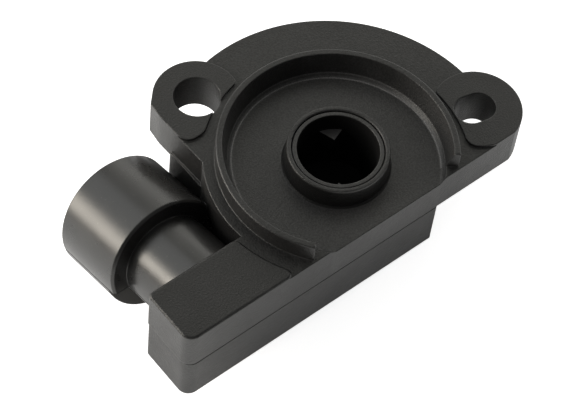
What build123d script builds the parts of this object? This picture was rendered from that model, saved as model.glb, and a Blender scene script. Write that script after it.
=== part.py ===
from build123d import *
import os
from math import acos, asin, atan2, cos, degrees, radians, sin, sqrt, tan

os.makedirs("parts", exist_ok=True)

# Heights over the plane of the ear pads, and depths under it, in mm
ring_rise = 2.30
collar_rise = 2.02
rotor_rise = 1.85
pad_step = 0.35
floor_drop = 1.05
ear_drop = 5.60
seam_drop = 6.10
body_drop = 13.65

# Mounting face: reaches from the rotor's axis, and margins to the pilot ring
pilot_r = 15.0
front_reach = 10.0
apron_margin = 1.5
flange_margin = 6.5
flange_cut = 1.4
recess_margin = 1.55
chamber_margin = 3.3
pilot_rim = 0.78
pilot_end_margin = 0.36
recess_root_r = 0.5

# Ears and their pads
left_hole_margin = 4.22
left_hole_angle = 115.6
left_hole_r = 2.97
left_ear_r = 5.55
left_side_rise = 2.5
left_pad_drop = 4.8
left_lobe_r = 2.4
left_lobe_side_r = 1.6
right_hole_margin = 3.88
right_hole_rise = 5.72
right_slot_r = 2.10
right_slot_l = 1.25
right_ear_r = 5.72
right_ear_shift = 0.20
right_lobe_r = 1.6
pad_corner_r = 0.8
spot_r = 4.3

# Box that carries the connector
conn_margin = 7.34
box_margin = 8.1
box_back = 1.9
box_pad_margin = 2.3
box_near_corner_r = 1.5
box_back_corner_r = 0.7
cover_corner = 0.18
cover_inset = 0.15

# Hub collar
collar_r = 6.42
collar_foot_r = 6.62
collar_root = 0.2
bore_r = 5.78

# Walls and joints
wall = 1.5
floor_t = 1.6
lip_t = 0.8
lip_h = 1.2
lip_gap = 0.1
lip_span_angle = 160.0
edge = 0.28
box_edge = 0.22
rim_edge = 0.12
seam_edge = 0.30
boss_drop = 6.3
core_start_angle = 18.0
core_end_angle = 86.0
core_roof = 2.0

# Gusset between the flange and the connector
ledge_drop = 4.75
ledge_w = 0.4
ledge_end_y = 15.1
gusset_drop = 11.0
skirt_end_angle = 186.0
tie_start_y = 8.0
tie_end_y = 14.0
tie_drop = 8.8
tie_t = 1.6

# Connector, about an axis that dips away from the throttle
dip = 14.0
conn_drop = 7.80
neck_l = 6.72
neck_r = 5.82
barrel_r = 7.98
barrel_l = 10.9
shroud_bore_r = 6.75
shroud_floor = 2.9
lower_step = 1.4
narrow_key = 1.4
wide_key = 2.2
key_h = 0.7
key_lead = 1.0
parting_drop = 1.32
narrow_key_angle = -60.0
wide_key_angle = -120.0

# Rotor
run_gap = 0.08
rotor_bore_r = 5.05
lug_foot_drop = 3.0
lug_top_drop = 0.7
bore_drop = 8.0
lug_tip_r = 3.2
lug_start_angle = 40.0
lug_tip_angle = 55.0
lug_end_angle = 80.0
carrier_gap = 0.3
carrier_drop = 8.7
carrier_t = 1.2
pivot_r = 2.5
pivot_drop = 12.7
seal_drop = 5.0
seal_side = 0.40
seal_gap = 0.02
groove_play = 0.08

# Travel of the rotor between its stops, angles in degrees
travel = 96.0
rest_angle = 40.0
tab_half_angle = 9.0
tab_play_angle = 0.6
stop_angle = 12.0
tab_end_gap = 0.5
tab_gap = 0.35

# Spring, wiper, board and terminals
wire_sides = 6
spring_wire_r = 0.35
spring_leg_r = 0.315
spring_gap = 0.2
spring_turns = 2
spring_pitch = 1.5
spring_drop = 7.9
board_t = 0.8
board_gap = 0.5
board_end_gap = 0.3
board_hole_r = 4.7
track_h = 0.1
track_w = 1.3
track_margin = 0.8
track_pitch = 1.6
track_over_angle = 36.0
strip_t = 0.25
strip_margin = 1.0
strip_end_margin = 0.8
strip_pad_w = 2.4
finger_w = 0.45
finger_pair = 0.7
finger_l = 2.4
finger_tail = 0.6
finger_lift = 0.15
finger_gap = 0.04
blade_w = 1.5
blade_t = 0.64
blade_pitch = 3.3
blade_tip = 9.3
blade_bend_r = 0.8
blade_end_gap = 0.1
slot_gap = 0.12

# Values that follow from the sizes above
apron_r = pilot_r + apron_margin
flange_r = pilot_r + flange_margin
flange_reach = pilot_r - flange_cut
recess_r = pilot_r - recess_margin
chamber_r = pilot_r - chamber_margin
box_pad_clear_r = pilot_r + box_pad_margin
conn_side = pilot_r + conn_margin
box_reach = conn_side + box_margin
cover_right_x = sqrt((chamber_r + wall) ** 2 - front_reach ** 2) + cover_corner
ring_start_angle = degrees(acos((front_reach - pilot_end_margin) / pilot_r)) - 90
far = 2 * box_reach
front_y = -front_reach
back_y = -box_back
flange_x = -flange_reach
flange_z = -pad_step
floor_z = -floor_drop
under_z = floor_z - floor_t
seam_z = -seam_drop
base_z = -body_drop
floor_in_z = base_z + floor_t
board_top_z = floor_in_z + board_t
carrier_top_z = -carrier_drop
carrier_low_z = carrier_top_z - carrier_t
journal_r = bore_r - run_gap
inner_front_y = front_y + wall
carrier_r = -inner_front_y - carrier_gap
spring_r = carrier_r - spring_wire_r - spring_gap
boss_r = spring_r - spring_wire_r - spring_gap
tab_r = chamber_r - tab_end_gap
board_r = chamber_r - board_gap
resistor_r = carrier_r - track_margin
collector_r = resistor_r - track_pitch
blade_turn_y = (front_reach + box_back) / 2
shoulder_y = neck_l - box_back
inner_back_y = back_y - wall
apron_corner_y = sqrt(apron_r ** 2 - flange_reach ** 2)
axis_dir = Vector(0, cos(radians(dip)), -sin(radians(dip)))
shoulder = Plane(origin=(-conn_side, shoulder_y, -conn_drop), x_dir=(1, 0, 0), z_dir=axis_dir)


def slab(sketch, z0, z1):
    """A level sketch made solid between two heights."""
    return extrude(Plane.XY.offset(z0) * sketch, z1 - z0)


def block(x0, x1, y0, y1):
    """A level rectangle between two corners."""
    return Pos((x0 + x1) / 2, (y0 + y1) / 2) * Rectangle(x1 - x0, y1 - y0)


def turned(points):
    """A solid of revolution about the rotor's axis, from (radius, height) points."""
    return revolve(make_face(Plane.XZ * Polyline(*points, close=True)), Axis.Z)


def rod(plane, r, s0, s1):
    """A round bar along a plane's normal, between two distances."""
    return extrude(plane.offset(s0) * Circle(r), s1 - s0)


def at(r, angle):
    """A point in plan by radius and angle in degrees."""
    return (r * cos(radians(angle)), r * sin(radians(angle)))


def sector(r0, r1, a0, a1):
    """A level ring sector between two radii and two angles."""
    mid = (a0 + a1) / 2
    outer = ThreePointArc(at(r1, a0), at(r1, mid), at(r1, a1))
    inner = ThreePointArc(at(r0, a1), at(r0, mid), at(r0, a0))
    return make_face([outer, Line(at(r1, a1), at(r0, a1)), inner, Line(at(r0, a0), at(r1, a0))])


def upright_edges(solid, r):
    """The upright edges of a solid that stand at one radius from the rotor's axis, sorted along X."""
    found = solid.edges().filter_by(Axis.Z).sort_by(Axis.X)
    return [e for e in found if abs(sqrt(e.center().X ** 2 + e.center().Y ** 2) - r) < run_gap]


def rim_edges(solid, z, y_max=far):
    """The edges that lie level at one height, in front of a limit."""
    boxes = [(e, e.bounding_box()) for e in solid.edges()]
    level = [e for e, b in boxes if max(abs(b.min.Z - z), abs(b.max.Z - z)) < seal_gap]
    return [e for e in level if e.center().Y < y_max]


# Outlines in plan
behind_front = block(-far, far, front_y, far)
right_of_left = block(flange_x, far, front_y, far)
chamber_plan = Circle(chamber_r + wall) & behind_front
chamber_hollow = Circle(chamber_r) & block(-far, far, inner_front_y, far)
left_hole = at(pilot_r + left_hole_margin, left_hole_angle)
right_hole = (pilot_r + right_hole_margin, front_y + right_hole_rise)
left_side = Line((flange_x, apron_corner_y), (flange_x, left_hole[1] + left_side_rise))
left_ear = make_hull((Pos(*left_hole) * Circle(left_ear_r)).edges() + left_side.edges())
right_ear = Pos(right_hole[0] + right_ear_shift, right_hole[1] - right_ear_shift) * Circle(right_ear_r)
slot_place = Pos(*right_hole) * Rot(0, 0, degrees(atan2(right_hole[1], right_hole[0])))
right_slot = slot_place * SlotCenterToCenter(right_slot_l, 2 * right_slot_r)


def rounded_box(x0, x1):
    """The box's outline, rounded at its two outer corners."""
    plan = block(x0, x1, front_y, back_y)
    outer = plan.vertices().sort_by(Axis.X)[:2].sort_by(Axis.Y)
    plan = fillet(outer[0], box_near_corner_r)
    return fillet(plan.vertices().group_by(Axis.Y)[-1].sort_by(Axis.X)[0], box_back_corner_r)


def make_terminal(u):
    """A blade that runs from the connector's mouth through the neck and down to the board."""
    tip = shoulder.from_local_coords((0, 0, blade_tip))
    turn_z = -conn_drop + (shoulder_y + blade_turn_y) * tan(radians(dip))
    foot = (-blade_turn_y, floor_in_z + blade_end_gap)
    path = FilletPolyline((tip.Y, tip.Z), (-blade_turn_y, turn_z), foot, radius=blade_bend_r)
    side = Plane(origin=(u - conn_side, 0, 0), x_dir=(0, 1, 0), z_dir=(1, 0, 0))
    return extrude(side * trace(path, blade_t), blade_w / 2, both=True)


def make_pads():
    """The raised pads round the screw holes and on the box."""
    low_z = flange_z - pad_step
    left = left_ear & block(-far, far, left_hole[1] - left_pad_drop, far)
    left = slab(left - Circle(apron_r), low_z, 0)
    left = fillet(upright_edges(left, apron_r)[0], left_lobe_r)
    left = fillet(upright_edges(left, apron_r)[-1], pad_corner_r)
    left = fillet(left.edges().filter_by(Axis.Z).group_by(Axis.Y)[0], left_lobe_side_r)
    right = slab((right_ear & behind_front) - Circle(apron_r), low_z, 0)
    right = fillet(upright_edges(right, apron_r)[0], right_lobe_r)
    right = fillet(upright_edges(right, apron_r)[-1], pad_corner_r)
    box = slab(rounded_box(-box_reach, 0) - Circle(box_pad_clear_r), low_z, 0)
    box = fillet(upright_edges(box, box_pad_clear_r), pad_corner_r)
    return [left, right, chamfer(rim_edges(box, 0), box_edge)]


def make_connector():
    """The neck and the shroud round a dipped axis, whose lower part starts later."""
    outside = slab(block(-far, far, back_y - edge, far), -far, 0)
    neck = rod(shoulder, neck_r, -2 * neck_r, shroud_floor)
    barrel = rod(shoulder, barrel_r, 0, barrel_l)
    barrel = chamfer(barrel.edges().filter_by(GeomType.CIRCLE), edge)
    barrel -= extrude(shoulder * block(-far, far, parting_drop, far), lower_step)
    return [neck & outside, barrel]


def make_gusset():
    """The wall under the flange's left side and apron, and the tie between it and the shroud."""
    wall_x = flange_x - ledge_w
    start_angle = 180 - degrees(asin(apron_corner_y / apron_r))
    plan = sector(apron_r - wall, apron_r, start_angle, skirt_end_angle)
    plan += block(wall_x, flange_x + wall, apron_corner_y - wall, ledge_end_y)
    tie = block(barrel_r - conn_side - wall / 2, flange_x, tie_start_y, tie_end_y)
    return [slab(plan, -gusset_drop, -ledge_drop), slab(tie, -tie_drop - tie_t, -tie_drop)]


def make_mouth():
    """The space inside the shroud, less two keys of unlike width."""
    mouth = rod(shoulder, shroud_bore_r, shroud_floor, barrel_l + wall)
    for width, angle in ((narrow_key, narrow_key_angle), (wide_key, wide_key_angle)):
        key = Rot(0, 0, angle) * (Pos(shroud_bore_r, 0) * Rectangle(2 * key_h, width))
        mouth -= extrude(shoulder.offset(shroud_floor) * key, barrel_l - shroud_floor - key_lead)
    return mouth


def make_housing(terminals):
    """The upper moulding: flange, ears, pilot ring, hub collar, box and connector shroud."""
    disc = (Circle(flange_r) & right_of_left) + (Circle(apron_r) & behind_front)
    corner = block(0, right_hole[0], front_y, right_hole[1])
    plan = disc + left_ear + (right_ear & behind_front) + corner + rounded_box(-box_reach, -recess_r)
    body = slab(plan, seam_z, flange_z) + make_pads()

    # Pilot ring, open toward the front
    ring_plan = sector(recess_r - wall, pilot_r, ring_start_angle, 180 - ring_start_angle)
    ring = slab(ring_plan, flange_z - pad_step, ring_rise)
    body += chamfer(rim_edges(ring, ring_rise), rim_edge)
    rim_r = pilot_r - pilot_rim
    body -= turned([(0, floor_z), (recess_r - recess_root_r, floor_z), (recess_r, floor_z + recess_root_r),
                    (rim_r, ring_rise), (rim_r + edge, ring_rise + edge), (rim_r + edge, far), (0, far)])

    # Hub collar, with the rotor's bearing boss under the floor
    body -= slab(chamber_hollow, seam_z, under_z)
    body += turned([(0, under_z), (collar_foot_r + collar_root, floor_z),
                    (collar_foot_r, floor_z + collar_root), (collar_r, collar_rise - edge),
                    (collar_r - rim_edge, collar_rise), (0, collar_rise)])
    body += slab(Circle(boss_r), -boss_drop, under_z)
    body -= turned([(0, -boss_drop), (bore_r, -boss_drop), (bore_r, collar_rise - rim_edge),
                    (bore_r + rim_edge, collar_rise), (0, collar_rise)])

    # Box cavity, open to the cover, and cores under the thick flange
    body -= slab(block(wall - box_reach, wall - chamber_r, inner_front_y, inner_back_y), seam_z, -floor_t)
    core = sector(chamber_r + 2 * wall, flange_r - wall, core_start_angle, core_end_angle)
    body -= slab(core, seam_z, flange_z - core_roof)

    # Screw holes, under a thinner left ear and a right ear with a spot face behind
    body -= slab((left_ear - Circle(apron_r)) + (Pos(*right_hole) * Circle(spot_r)), seam_z, -ear_drop)
    body -= slab((Pos(*left_hole) * Circle(left_hole_r)) + right_slot, seam_z, 0)
    body += make_gusset()

    body += make_connector()
    body -= make_mouth()
    for blade in terminals:
        body -= blade
    return body


def make_cover():
    """The lower moulding: a deep tray under the box and the rotor's chamber."""
    plan = rounded_box(cover_inset - box_reach, cover_right_x)
    plan = fillet(plan.vertices().group_by(Axis.X)[-1], box_back_corner_r) + chamber_plan
    tray = slab(plan, base_z, seam_z)
    tray = chamfer(rim_edges(tray, base_z), edge)
    tray = chamfer(rim_edges(tray, seam_z, front_y + box_near_corner_r), seam_edge)
    hollow = block(wall - box_reach, cover_right_x - wall, inner_front_y, inner_back_y) + chamber_hollow
    tray -= slab(hollow, floor_in_z, seam_z)

    # Lip that locates the tray inside the housing
    lip_in_r = chamber_r - lip_gap - lip_t
    tray += slab(sector(lip_in_r, chamber_r + lip_t, 0, lip_span_angle), seam_z - lip_h, seam_z)
    tray += slab(sector(lip_in_r, chamber_r - lip_gap, 0, lip_span_angle), seam_z - lip_h, seam_z + lip_h)

    # Socket for the rotor's pivot
    tray += slab(Circle(board_hole_r - lip_gap), floor_in_z, carrier_low_z - lip_t)
    tray -= slab(Circle(pivot_r + run_gap), -pivot_drop - lip_gap, carrier_low_z)

    # Stops for the rotor's tab, at both ends of its travel
    near_side = rest_angle - tab_half_angle - tab_play_angle
    far_side = rest_angle + travel + tab_half_angle + tab_play_angle
    for a0, a1 in ((near_side - stop_angle, near_side), (far_side, far_side + stop_angle)):
        stop = sector(carrier_r + tab_gap, chamber_r + lip_t, a0, a1)
        tray += slab(stop, carrier_low_z - tab_gap, carrier_top_z + tab_gap)

    # Saddle for the connector's neck
    tray -= rod(shoulder, neck_r + lip_gap, -2 * neck_r, shroud_floor)
    return tray


def make_rotor():
    """The turning hub: bore with drive lugs, journal, carrier and lower pivot."""
    groove_r = bore_r - seal_side - 2 * seal_gap
    g0 = -seal_drop - seal_side / 2 - groove_play
    g1 = -seal_drop + seal_side / 2 + groove_play
    body = turned([(0, -pivot_drop), (pivot_r, -pivot_drop), (pivot_r, carrier_low_z),
                   (carrier_r, carrier_low_z), (carrier_r, carrier_top_z), (journal_r, carrier_top_z),
                   (journal_r, g0), (groove_r, g0), (groove_r, g1), (journal_r, g1),
                   (journal_r, rotor_rise - rim_edge), (journal_r - rim_edge, rotor_rise),
                   (rotor_bore_r + rim_edge, rotor_rise), (rotor_bore_r, rotor_rise - rim_edge),
                   (rotor_bore_r, -bore_drop), (0, -bore_drop)])
    root = (rotor_bore_r + journal_r) / 2
    corners = (at(root, lug_start_angle), at(root, lug_end_angle), at(lug_tip_r, lug_tip_angle))
    lug = make_face(Polyline(*corners, close=True))
    for turn in (0, 180):
        body += slab(Rot(0, 0, turn) * lug, -lug_foot_drop, -lug_top_drop)
    tab = sector(journal_r, tab_r, rest_angle - tab_half_angle, rest_angle + tab_half_angle)
    body += slab(tab, carrier_low_z, carrier_top_z)
    return body


def make_seal():
    """A square-cut ring in the journal's groove."""
    ring_r = bore_r - seal_gap - seal_side / 2
    section = Plane.XZ * (Pos(ring_r, -seal_drop) * Rectangle(seal_side, seal_side))
    return revolve(section, Axis.Z)


def make_spring():
    """A torsion coil round the bearing boss, with a leg up to the housing and one down to the carrier."""
    coil_h = spring_turns * spring_pitch
    path = Helix(spring_pitch, coil_h, spring_r)
    start = Plane(origin=path @ 0, z_dir=path % 0)
    coil = Pos(0, 0, -spring_drop) * sweep(start * RegularPolygon(spring_wire_r, wire_sides), path=path)
    leg = Pos(spring_r, 0) * RegularPolygon(spring_leg_r, wire_sides)
    low = slab(leg, carrier_top_z, -spring_drop)
    high = slab(leg, coil_h - spring_drop, under_z)
    return coil + low + high


def make_wiper():
    """A strip under the carrier whose fingers reach down to both tracks."""
    plate = block(collector_r - strip_margin, resistor_r + strip_end_margin, -strip_pad_w, 0)
    body = slab(plate, carrier_low_z - strip_t, carrier_low_z)
    touch_z = board_top_z + track_h + finger_gap + strip_t / 2
    heel = (-strip_t, carrier_low_z - strip_t / 2)
    path = Polyline(heel, (finger_l, touch_z), (finger_l + finger_tail, touch_z + finger_lift))
    finger = trace(path, strip_t)
    for r in (collector_r, resistor_r):
        for offset in (-finger_pair / 2, finger_pair / 2):
            side = Plane(origin=(r + offset, 0, 0), x_dir=(0, 1, 0), z_dir=(1, 0, 0))
            body += extrude(side * finger, finger_w / 2, both=True)
    return Rot(0, 0, rest_angle + 180) * body


def make_board():
    """The board on the tray's floor, with its two tracks and a tail under the terminals."""
    low_y = inner_front_y + lip_gap
    plan = Circle(board_r) & block(-far, far, low_y, far)
    plan += block(wall + board_end_gap - box_reach, -collector_r, low_y, inner_back_y - lip_gap)
    plan -= Circle(board_hole_r)
    board = slab(plan, floor_in_z, board_top_z)
    first = rest_angle + 180 - tab_half_angle
    last = rest_angle + 180 + travel + track_over_angle
    for r in (collector_r, resistor_r):
        track = sector(r - track_w / 2, r + track_w / 2, first, last)
        board += slab(track, board_top_z - track_h, board_top_z + track_h)
    slot = Rectangle(blade_w + 2 * slot_gap, blade_t + 2 * slot_gap)
    for i in (-1, 0, 1):
        board -= slab(Pos(i * blade_pitch - conn_side, -blade_turn_y) * slot, floor_in_z, board_top_z)
    return board


names = ("terminal_supply", "terminal_signal", "terminal_ground")
terminals = [make_terminal(i * blade_pitch) for i in (-1, 0, 1)]
pieces = dict(zip(names, terminals))
pieces["housing"] = make_housing(terminals)
pieces["rear_cover"] = make_cover()
pieces["rotor"] = make_rotor()
pieces["rotor_seal"] = make_seal()
pieces["return_spring"] = make_spring()
pieces["wiper"] = make_wiper()
pieces["element_board"] = make_board()

for name, shape in pieces.items():
    export_step(shape, "parts/" + name + ".step")
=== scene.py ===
"""Looks for a throttle position sensor: black moulded plastic on a white sweep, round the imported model."""
import math

import bpy
from mathutils import Matrix, Vector

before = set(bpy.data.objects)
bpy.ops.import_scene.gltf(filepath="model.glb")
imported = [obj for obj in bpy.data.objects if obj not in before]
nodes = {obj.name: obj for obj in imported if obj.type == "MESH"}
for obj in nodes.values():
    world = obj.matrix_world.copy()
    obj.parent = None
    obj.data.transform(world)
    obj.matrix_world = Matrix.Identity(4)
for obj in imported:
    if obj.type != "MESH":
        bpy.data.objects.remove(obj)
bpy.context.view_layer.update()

# Lengths below are in mm unless they say otherwise
MM = 0.001

# Camera at the photograph's angle, in the part's own frame
CAMERA_POS = (-118.9, -111.0, 232.1)
CAMERA_RIGHT = (0.777, -0.625, 0.076)
CAMERA_BACK = (-0.394, -0.389, 0.833)
LENS_MM = 142.5
SENSOR_MM = 36.0
CLIP_NEAR_M = 0.01
CLIP_FAR_M = 10.0

# Black moulding: flow mottling, fine grain and dust, with tones as shares of the base shade
MOTTLE_MM = 5.0
GRAIN_MM = 0.22
SPECK_MM = 0.30
NOISE_MIDDLE = (0.35, 0.65)
DARK_FLOW = (0.56, 1.16)
LIGHT_FLOW = (0.72, 1.52)
SPECK_RANGE = (0.76, 0.82)
SPECK_STRENGTH = 0.20
SPECK_TONE = 5.0

# Edges of the moulding: rounded for light, smoother where handled, and paler partly from wear and partly
# from a painted highlight
BEVEL_SAMPLES = 6
EDGE_RANGE = (0.995, 0.85)
WEAR_AND_HIGHLIGHT_RANGE = (0.30, 0.60)
WEAR_AND_HIGHLIGHT_LEAST = 0.35
EDGE_WEAR_AND_HIGHLIGHT_TONE = 4.0
EDGE_POLISH = 0.08

# Sheen of the moulding, with a faint olive cast
PLASTIC_IOR = 1.5
SHEEN = 0.5
SHEEN_TINT = (1.0, 0.998, 0.965, 1.0)
GLOSS_RANGE = (0.3, 0.7)
GLOSS_SPREAD = 0.05

# Connector's axis, from where the shroud meets its neck
CONNECTOR_START = (-22.34, 4.82, -7.80)
CONNECTOR_DIP = math.radians(14.0)
SHROUD_R = 7.98
SHROUD_CLEAR = 0.15
SHROUD_FADE = 0.20
NECK_L = 10.0
NECK_FADE = 0.2
BOX_BACK_Y = -1.88

# Connector's smoother skin and the mould's parting line along its sides
CONNECTOR_GRIT = (0.4, 0.6)
CONNECTOR_GRAIN = 0.1
CONNECTOR_GLOSS_SPREAD = 0.03
PARTING_DROP = 1.32
PARTING_W = 0.40
PARTING_SHADE = 0.004
PARTING_ROUGH = 0.4

# Recess round the hub: painted light on its floor, and a painted highlight along the root where floor and
# ring meet in a soft curve
RECESS_R = 13.2
RECESS_PAINTED_LIGHT = 0.60
RECESS_LIT_TONES = (1.7, 3.5)
ROOT_REACH = 0.9
ROOT_FRONT_Y = -8.2
ROOT_TOP_Z = -0.2
ROOT_EDGE = 0.40
ROOT_HIGHLIGHT_TONE = 0.26

# Hub collar's outer wall, darker with painted shade and with less sheen below its rim
COLLAR_FOOT_R = 6.85
COLLAR_WALL_Z = 1.8
COLLAR_SHADED_SHEEN = 0.20
COLLAR_PAINTED_SHADE = 0.009

# Rotor's bore, its wall rougher, darker with painted shade and with less sheen below the rim, and painted
# light on the tops of its drive lugs
BORE_R = 5.12
BORE_TOP_Z = 2.0
BORE_SKIN = 0.3
BORE_PAINTED_SHADE = 0.008
BORE_ROUGH = 0.25
BORE_SHADED_SHEEN = 0.05
LUG_SIDE_Z = -0.78
LUG_PAINTED_LIGHT = 0.08

# Drawn and stamped metal: lengthwise scratches and tarnish
SCRATCH_STRETCH = (1.0, 0.12, 1.0)
SCRATCH_DEPTH = 0.01
STAIN_MM = 2.5
STAIN_RANGE = (0.35, 0.7)
TARNISH = 0.7
SCRATCH_SMOOTH = 0.06
SCRATCH_ROUGH = 0.08

# Board: brown laminate, with printed tracks above the middle height
WEAVE_MM = 0.4
WEAVE_DEPTH = 0.008
FIBRE_COLOUR = (0.10, 0.055, 0.022, 1.0)
RESIN_COLOUR = (0.19, 0.11, 0.05, 1.0)
TRACK_COLOUR = (0.014, 0.014, 0.015, 1.0)
TRACK_MIDDLE_Z = -11.20
BOARD_ROUGH = 0.5

# Floor that the connector's rim and the cover's lower edges lie on
FLOOR_POINTS = ((-21.5, 13.1, -18.15), (12.15, -4.5, -13.66), (15.6, 4.9, -13.66))
FLOOR_HALF = 1500.0
FLOOR_GREY = 0.86
FLOOR_SEEN = 0.85
FLOOR_MIRRORED = 0.92

# Shade on the floor as the moulding mirrors it, deepest between the connector and the body
SHADE_REACH = 25.0
SHADE_SAMPLES = 8
SHADE_POWER = 2.0
CORNER = (1.0, 22.0, -16.0)
CORNER_NEAR = 8.0
CORNER_FAR = 14.0
CORNER_LEVEL = 0.08
CORNER_GREY = 0.02

WHITE = (1.0, 1.0, 1.0, 1.0)
ROOM_LEVEL = 0.12

# Softboxes aimed at the hub: name, place, width and height, watts, colour
LAMPS = (
    ("key", (-245, 238, 52), (150, 115), 0.62, (1.0, 0.93, 0.84)),
    ("side", (-405, 195, 185), (200, 200), 0.85, (1.0, 0.97, 0.92)),
    ("left_high", (-185, 365, 300), (440, 320), 0.46, (0.90, 0.94, 1.0)),
    ("back", (370, 325, 160), (600, 190), 0.42, (1.0, 0.98, 0.94)),
    ("back_high", (20, 420, 300), (900, 400), 0.78, (1.0, 1.0, 0.95)),
    ("top", (195, 195, 415), (400, 400), 0.20, (1.0, 1.0, 0.93)),
    ("right", (420, 0, 230), (240, 240), 0.36, (1.0, 1.0, 0.97)),
    ("overhead", (-85, -85, 420), (220, 220), 0.07, (0.98, 0.99, 1.0)),
)


class Graph:
    """A material's node tree, with short calls to add nodes and join them."""

    def __init__(self, name):
        self.material = bpy.data.materials.new(name)
        self.material.use_nodes = True
        self.tree = self.material.node_tree
        self.tree.nodes.clear()
        self.output = self.tree.nodes.new("ShaderNodeOutputMaterial")

    def join(self, socket, value):
        """Links a socket to an output, or sets it to a constant."""
        if isinstance(value, bpy.types.NodeSocket):
            self.tree.links.new(value, socket)
        else:
            socket.default_value = value

    def add(self, kind, **sockets):
        node = self.tree.nodes.new(kind)
        for key, value in sockets.items():
            self.join(node.inputs[key.replace("_", " ")], value)
        return node

    def math(self, op, *values, clamp=False):
        node = self.tree.nodes.new("ShaderNodeMath")
        node.operation = op
        node.use_clamp = clamp
        for socket, value in zip(node.inputs, values):
            self.join(socket, value)
        return node.outputs[0]

    def vector(self, op, *values):
        node = self.tree.nodes.new("ShaderNodeVectorMath")
        node.operation = op
        for socket, value in zip(node.inputs, values):
            self.join(socket, value)
        return node.outputs["Value" if op in ("LENGTH", "DOT_PRODUCT") else "Vector"]

    def ramp(self, value, low, high, out_low=0.0, out_high=1.0):
        node = self.add("ShaderNodeMapRange", Value=value, From_Min=low, From_Max=high,
                        To_Min=out_low, To_Max=out_high)
        node.clamp = True
        return node.outputs[0]

    def blend(self, factor, a, b):
        """Mixes two numbers."""
        node = self.tree.nodes.new("ShaderNodeMix")
        for key, value in ((0, factor), (2, a), (3, b)):
            self.join(node.inputs[key], value)
        return node.outputs[0]

    def mix(self, factor, a, b):
        """Mixes two colours."""
        node = self.tree.nodes.new("ShaderNodeMix")
        node.data_type = "RGBA"
        for key, value in ((0, factor), (6, a), (7, b)):
            self.join(node.inputs[key], value)
        return node.outputs[2]

    def noise(self, where, size_mm, detail=3.0, rough=0.5):
        scale = 1.0 / (size_mm * MM)
        node = self.add("ShaderNodeTexNoise", Vector=where, Scale=scale, Detail=detail, Roughness=rough)
        return node.outputs["Fac"]

    def position(self):
        return self.add("ShaderNodeTexCoord").outputs["Object"]

    def split(self, where):
        return self.add("ShaderNodeSeparateXYZ", Vector=where).outputs

    def finish(self, shader):
        self.tree.links.new(shader.outputs[0], self.output.inputs[0])
        return self.material


def grey(value, warm=0.0):
    """A neutral linear colour, a little warmer where asked."""
    return (value * (1 + warm), value, value * (1 - warm), 1.0)


def near_connector(g, where):
    """A mask that is 1 on the neck and the shroud and 0 on the rest of the housing."""
    start = Vector(CONNECTOR_START) * MM
    along = Vector((0.0, math.cos(CONNECTOR_DIP), -math.sin(CONNECTOR_DIP)))
    offset = g.vector("SUBTRACT", where, start)
    reach = g.vector("LENGTH", g.vector("CROSS_PRODUCT", offset, along))
    travel = g.vector("DOT_PRODUCT", offset, along)
    skin_r = SHROUD_R + SHROUD_CLEAR
    inside = g.ramp(reach, (skin_r + SHROUD_FADE) * MM, skin_r * MM)
    inside = g.math("MULTIPLY", inside, g.ramp(travel, -NECK_L * MM, (NECK_FADE - NECK_L) * MM))
    behind_box = g.math("GREATER_THAN", g.split(where)["Y"], BOX_BACK_Y * MM)
    return g.math("MULTIPLY", inside, behind_box)


def parting_line(g, where):
    """A mask that is 1 along the mould's parting line on the connector's sides."""
    up = Vector((0.0, math.sin(CONNECTOR_DIP), math.cos(CONNECTOR_DIP)))
    offset = g.vector("SUBTRACT", where, Vector(CONNECTOR_START) * MM)
    return g.math("COMPARE", g.vector("DOT_PRODUCT", offset, up), -PARTING_DROP * MM, PARTING_W / 2 * MM)


def distance_from_axis(g, place):
    """How far a point lies from the rotor's axis."""
    x_squared = g.math("MULTIPLY", place["X"], place["X"])
    y_squared = g.math("MULTIPLY", place["Y"], place["Y"])
    return g.math("SQRT", g.math("ADD", x_squared, y_squared))


def recess_masks(g, where):
    """Three masks: the floor of the recess, the root where it meets the ring, the hub collar's wall."""
    place = g.split(where)
    r = distance_from_axis(g, place)
    low = g.math("LESS_THAN", place["Z"], ROOT_TOP_Z * MM)
    floor = g.math("MULTIPLY", low, g.math("LESS_THAN", r, RECESS_R * MM))
    floor = g.math("MULTIPLY", floor, g.math("GREATER_THAN", r, COLLAR_FOOT_R * MM))
    root = g.math("COMPARE", r, RECESS_R * MM, ROOT_REACH * MM)
    root = g.math("MULTIPLY", root, g.math("GREATER_THAN", place["Y"], ROOT_FRONT_Y * MM))
    root = g.math("MULTIPLY", low, root)
    shaded_collar = g.math("LESS_THAN", r, COLLAR_FOOT_R * MM)
    shaded_collar = g.math("MULTIPLY", shaded_collar, g.math("LESS_THAN", place["Z"], COLLAR_WALL_Z * MM))
    return floor, root, shaded_collar


def bore_masks(g, where):
    """Two masks: the inside of the rotor's bore, and the tops of its drive lugs."""
    place = g.split(where)
    r = distance_from_axis(g, place)
    low = g.math("LESS_THAN", place["Z"], BORE_TOP_Z * MM)
    inside = g.math("MULTIPLY", low, g.math("LESS_THAN", r, BORE_R * MM))
    lit_lug = g.math("LESS_THAN", r, (BORE_R - BORE_SKIN) * MM)
    lit_lug = g.math("MULTIPLY", lit_lug, g.math("GREATER_THAN", place["Z"], LUG_SIDE_Z * MM))
    return g.math("SUBTRACT", inside, lit_lug, clamp=True), lit_lug


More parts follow.
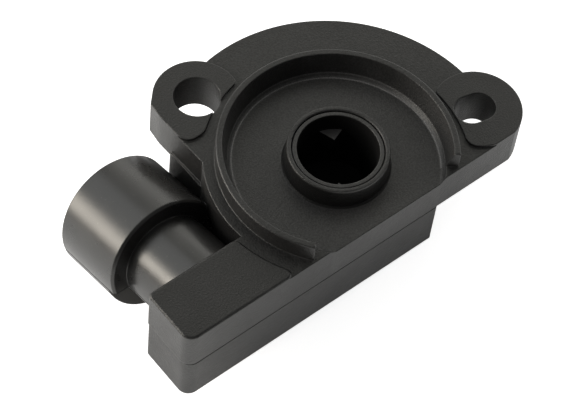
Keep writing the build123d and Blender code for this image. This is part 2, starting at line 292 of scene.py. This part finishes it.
def plastic(name, shade, warm, rough, grain, edge_mm=0.16, wear_and_highlight=0.5, polished=None, bore=False):
    """Black moulding. A roughness in polished adds the housing's own zones, with painted light, shade and
    highlight, and bore adds the rotor's painted shade and light.
    """
    g = Graph(name)
    where = g.position()
    mottle = g.noise(where, MOTTLE_MM, detail=4.0, rough=0.6)
    fine = g.noise(where, GRAIN_MM, detail=2.0)
    speck = g.ramp(g.noise(where, SPECK_MM, detail=0.0), *SPECK_RANGE)
    grit = g.ramp(fine, *NOISE_MIDDLE)
    if polished:
        smooth = near_connector(g, where)
        lit_recess_floor, root, shaded_collar = recess_masks(g, where)
        grit = g.blend(smooth, grit, g.ramp(fine, 0.0, 1.0, *CONNECTOR_GRIT))

    def gritty(tones):
        low, high = tones
        return g.mix(grit, grey(shade * low, warm), grey(shade * high, warm))

    # Flow marks, dust, and the housing's painted light on the recess floor and painted shade on the collar's
    # wall
    tone = g.mix(g.ramp(mottle, *NOISE_MIDDLE), gritty(DARK_FLOW), gritty(LIGHT_FLOW))
    tone = g.mix(g.math("MULTIPLY", speck, SPECK_STRENGTH), tone, grey(shade * SPECK_TONE, warm))
    radius = edge_mm * MM
    if polished:
        tone = g.mix(g.math("MULTIPLY", lit_recess_floor, RECESS_PAINTED_LIGHT), tone, gritty(RECESS_LIT_TONES))
        tone = g.mix(shaded_collar, tone, grey(COLLAR_PAINTED_SHADE, warm))
        radius = g.ramp(root, 0.0, 1.0, edge_mm * MM, ROOT_EDGE * MM)

    # Edges, paler partly from wear and partly from a painted highlight
    bevel = g.add("ShaderNodeBevel", Radius=radius)
    bevel.samples = BEVEL_SAMPLES
    plain = g.add("ShaderNodeNewGeometry").outputs["Normal"]
    edge_mask = g.ramp(g.vector("DOT_PRODUCT", bevel.outputs[0], plain), *EDGE_RANGE)
    worn_and_lit = g.math("MULTIPLY", edge_mask, g.ramp(mottle, *WEAR_AND_HIGHLIGHT_RANGE, WEAR_AND_HIGHLIGHT_LEAST, 1.0))
    tone = g.mix(g.math("MULTIPLY", worn_and_lit, wear_and_highlight), tone, grey(shade * EDGE_WEAR_AND_HIGHLIGHT_TONE, warm))
    gloss = g.ramp(mottle, *GLOSS_RANGE, rough - GLOSS_SPREAD, rough + GLOSS_SPREAD)
    gloss = g.math("SUBTRACT", gloss, g.math("MULTIPLY", edge_mask, EDGE_POLISH))
    height = fine
    sheen = SHEEN

    # Painted highlight along the root, parting line, smooth connector, and less sheen on the collar as
    # painted shade
    if polished:
        tone = g.mix(g.math("MULTIPLY", edge_mask, root), tone, grey(ROOT_HIGHLIGHT_TONE, warm))
        line = g.math("MULTIPLY", parting_line(g, where), smooth)
        tone = g.mix(line, tone, grey(PARTING_SHADE, warm))
        least = polished - CONNECTOR_GLOSS_SPREAD
        most = polished + CONNECTOR_GLOSS_SPREAD
        gloss = g.blend(smooth, gloss, g.ramp(mottle, *GLOSS_RANGE, least, most))
        gloss = g.math("ADD", gloss, g.math("MULTIPLY", line, PARTING_ROUGH))
        height = g.math("MULTIPLY", fine, g.ramp(smooth, 0.0, 1.0, 1.0, CONNECTOR_GRAIN))
        sheen = g.ramp(shaded_collar, 0.0, 1.0, SHEEN, COLLAR_SHADED_SHEEN)

    # Painted shade in the bore and painted light on the lug tops
    if bore:
        inside, lit_lug = bore_masks(g, where)
        tone = g.mix(inside, tone, grey(BORE_PAINTED_SHADE, warm))
        tone = g.mix(lit_lug, tone, grey(LUG_PAINTED_LIGHT, warm))
        gloss = g.math("ADD", gloss, g.math("MULTIPLY", inside, BORE_ROUGH))
        sheen = g.ramp(inside, 0.0, 1.0, SHEEN, BORE_SHADED_SHEEN)

    bump = g.add("ShaderNodeBump", Strength=1.0, Distance=grain * MM, Height=height, Normal=bevel.outputs[0])
    skin = g.add("ShaderNodeBsdfPrincipled", Base_Color=tone, Roughness=gloss, Normal=bump.outputs[0],
                 IOR=PLASTIC_IOR, Specular_IOR_Level=sheen, Specular_Tint=SHEEN_TINT)
    return g.finish(skin)


def metal(name, colour, rough, scratch_mm):
    """Drawn or stamped metal with fine lengthwise scratches and a little tarnish."""
    g = Graph(name)
    where = g.position()
    stretch = g.add("ShaderNodeMapping", Vector=where, Scale=SCRATCH_STRETCH)
    lines = g.noise(stretch.outputs[0], scratch_mm)
    stain = g.noise(where, STAIN_MM)
    dark = tuple(c * TARNISH for c in colour) + (1.0,)
    tone = g.mix(g.ramp(stain, *STAIN_RANGE), dark, colour + (1.0,))
    gloss = g.ramp(lines, *GLOSS_RANGE, rough - SCRATCH_SMOOTH, rough + SCRATCH_ROUGH)
    bump = g.add("ShaderNodeBump", Strength=1.0, Distance=SCRATCH_DEPTH * MM, Height=lines)
    skin = g.add("ShaderNodeBsdfPrincipled", Base_Color=tone, Metallic=1.0, Normal=bump.outputs[0],
                 Roughness=gloss)
    return g.finish(skin)


def laminate(name):
    """Brown board with darker fibres and near-black printed tracks on its upper skin."""
    g = Graph(name)
    where = g.position()
    weave = g.noise(where, WEAVE_MM, detail=2.0)
    tone = g.mix(g.ramp(weave, *NOISE_MIDDLE), FIBRE_COLOUR, RESIN_COLOUR)
    printed = g.math("GREATER_THAN", g.split(where)["Z"], TRACK_MIDDLE_Z * MM)
    tone = g.mix(printed, tone, TRACK_COLOUR)
    bump = g.add("ShaderNodeBump", Strength=1.0, Distance=WEAVE_DEPTH * MM, Height=weave)
    skin = g.add("ShaderNodeBsdfPrincipled", Base_Color=tone, Roughness=BOARD_ROUGH, Normal=bump.outputs[0])
    return g.finish(skin)


def dress(node, material):
    """Gives a carried-over node its finish."""
    mesh = nodes[node].data
    mesh.materials.clear()
    mesh.materials.append(material)


def dress_all():
    """Finishes of all the pieces."""
    dress("housing", plastic("housing_plastic", shade=0.0165, warm=0.02, rough=0.42, grain=0.05,
                             edge_mm=0.24, polished=0.29))
    dress("rear_cover", plastic("cover_plastic", shade=0.017, warm=0.02, rough=0.44, grain=0.05,
                                edge_mm=0.20))
    dress("rotor", plastic("rotor_plastic", shade=0.028, warm=0.02, rough=0.40, grain=0.008, bore=True))
    dress("rotor_seal", plastic("seal_rubber", shade=0.012, warm=0.0, rough=0.6, grain=0.006,
                                edge_mm=0.05, wear_and_highlight=0.2))
    dress("return_spring", metal("spring_steel", (0.55, 0.55, 0.53), rough=0.32, scratch_mm=0.2))
    dress("wiper", metal("wiper_metal", (0.72, 0.50, 0.28), rough=0.30, scratch_mm=0.2))
    dress("element_board", laminate("board_laminate"))
    terminal_skin = metal("terminal_metal", (0.70, 0.69, 0.66), rough=0.28, scratch_mm=0.25)
    for blade in ("terminal_supply", "terminal_signal", "terminal_ground"):
        dress(blade, terminal_skin)


def floor_white():
    """White to the camera, matte to the lamps, and shaded where the moulding mirrors it."""
    g = Graph("floor_white")
    ray = g.add("ShaderNodeLightPath").outputs
    seen = g.math("MAXIMUM", ray["Is Camera Ray"], ray["Is Transmission Ray"])
    shade = g.add("ShaderNodeAmbientOcclusion", Distance=SHADE_REACH * MM)
    shade.samples = SHADE_SAMPLES
    from_corner = g.vector("LENGTH", g.vector("SUBTRACT", g.position(), Vector(CORNER) * MM))
    corner_open = g.ramp(from_corner, CORNER_NEAR * MM, CORNER_FAR * MM, CORNER_LEVEL, 1.0)
    open_floor = g.math("MULTIPLY", g.math("POWER", shade.outputs["AO"], SHADE_POWER), corner_open)
    mirrored = g.math("MULTIPLY", ray["Is Glossy Ray"], g.math("MULTIPLY", open_floor, FLOOR_MIRRORED))
    level = g.math("ADD", g.math("MULTIPLY", seen, FLOOR_SEEN), mirrored)
    closed = g.math("MULTIPLY", ray["Is Glossy Ray"], g.math("SUBTRACT", 1.0, corner_open))
    matte = g.add("ShaderNodeBsdfDiffuse", Color=g.mix(closed, grey(FLOOR_GREY), grey(CORNER_GREY)))
    glow = g.add("ShaderNodeEmission", Color=WHITE, Strength=level)
    both = g.tree.nodes.new("ShaderNodeAddShader")
    g.tree.links.new(matte.outputs[0], both.inputs[0])
    g.tree.links.new(glow.outputs[0], both.inputs[1])
    return g.finish(both)


def make_floor():
    """A plain white sweep, tilted to touch the part where it would rest."""
    a, b, c = (Vector(p) * MM for p in FLOOR_POINTS)
    normal = (b - a).cross(c - a).normalized()
    side = (b - a).normalized()
    back = normal.cross(side)
    half = FLOOR_HALF * MM
    signs = ((-1, -1), (1, -1), (1, 1), (-1, 1))
    corners = [a + side * sx * half + back * sy * half for sx, sy in signs]
    mesh = bpy.data.meshes.new("floor")
    mesh.from_pydata([tuple(v) for v in corners], [], [(0, 1, 2, 3)])
    floor = bpy.data.objects.new("floor", mesh)
    bpy.context.scene.collection.objects.link(floor)
    mesh.materials.append(floor_white())


def softbox(name, pos, size, power, colour):
    """A rectangular lamp that the camera doesn't see, aimed at the hub."""
    data = bpy.data.lights.new(name, "AREA")
    data.shape = "RECTANGLE"
    data.size = size[0] * MM
    data.size_y = size[1] * MM
    data.energy = power
    data.color = colour
    lamp = bpy.data.objects.new(name, data)
    lamp.rotation_euler = Vector(pos).to_track_quat("Z", "Y").to_euler()
    lamp.location = Vector(pos) * MM
    lamp.visible_camera = False
    bpy.context.scene.collection.objects.link(lamp)


def make_world():
    """Even dim surroundings, plain white to the camera."""
    world = bpy.data.worlds.new("studio")
    bpy.context.scene.world = world
    world.use_nodes = True
    tree = world.node_tree
    tree.nodes.clear()
    out = tree.nodes.new("ShaderNodeOutputWorld")
    back = tree.nodes.new("ShaderNodeBackground")
    ray = tree.nodes.new("ShaderNodeLightPath")
    level = tree.nodes.new("ShaderNodeMapRange")
    level.inputs["To Min"].default_value = ROOM_LEVEL
    level.inputs["To Max"].default_value = 1.0
    tree.links.new(ray.outputs["Is Camera Ray"], level.inputs["Value"])
    tree.links.new(level.outputs[0], back.inputs["Strength"])
    back.inputs["Color"].default_value = WHITE
    tree.links.new(back.outputs[0], out.inputs[0])


def make_camera():
    """The photograph's camera, placed by its axes in the part's frame."""
    data = bpy.data.cameras.new("camera")
    data.sensor_fit = "HORIZONTAL"
    data.sensor_width = SENSOR_MM
    data.lens = LENS_MM
    data.clip_start = CLIP_NEAR_M
    data.clip_end = CLIP_FAR_M
    camera = bpy.data.objects.new("camera", data)
    bpy.context.scene.collection.objects.link(camera)
    back = Vector(CAMERA_BACK).normalized()
    right = Vector(CAMERA_RIGHT)
    right = (right - back * right.dot(back)).normalized()
    up = back.cross(right)
    turn = Matrix((right, up, back)).transposed().to_4x4()
    camera.matrix_world = Matrix.Translation(Vector(CAMERA_POS) * MM) @ turn
    bpy.context.scene.camera = camera


dress_all()
make_camera()
make_floor()
make_world()
for lamp_values in LAMPS:
    softbox(*lamp_values)

bpy.context.scene.view_settings.view_transform = "Standard"
